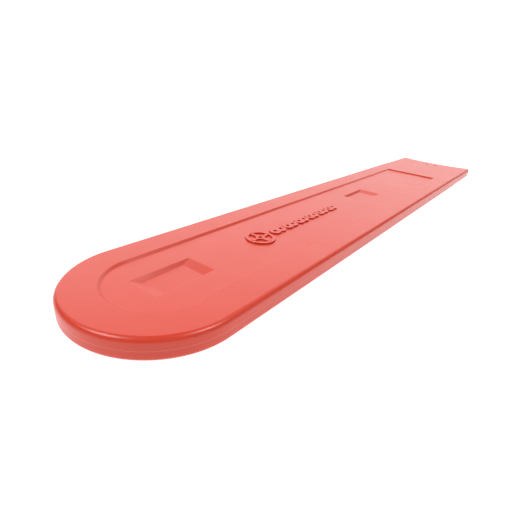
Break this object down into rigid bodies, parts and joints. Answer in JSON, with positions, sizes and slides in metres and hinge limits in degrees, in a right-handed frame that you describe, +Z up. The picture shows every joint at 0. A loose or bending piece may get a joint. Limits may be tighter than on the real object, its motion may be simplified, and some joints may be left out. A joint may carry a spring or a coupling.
{
  "type": "chainsaw guide bar scabbard",
  "caption": "Flat round-nosed plastic sleeve that slides over a chainsaw guide bar and chain, with sunk panels, pressed clamping pads and an open mouth.",
  "frame": {"origin": "middle of the footprint, on the surface that the cover lies on", "axes": "+X along the cover from its round nose to its open mouth, +Y across its width, +Z up through its thickness"},
  "size_m": [0.59, 0.1, 0.0124],
  "materials": {
    "orange_plastic": "satin moulded polyethylene, fine mould grain"
  },
  "bodies": {
    "root": {"top_shell": "orange_plastic", "bottom_shell": "orange_plastic"}
  },
  "joints": []
}
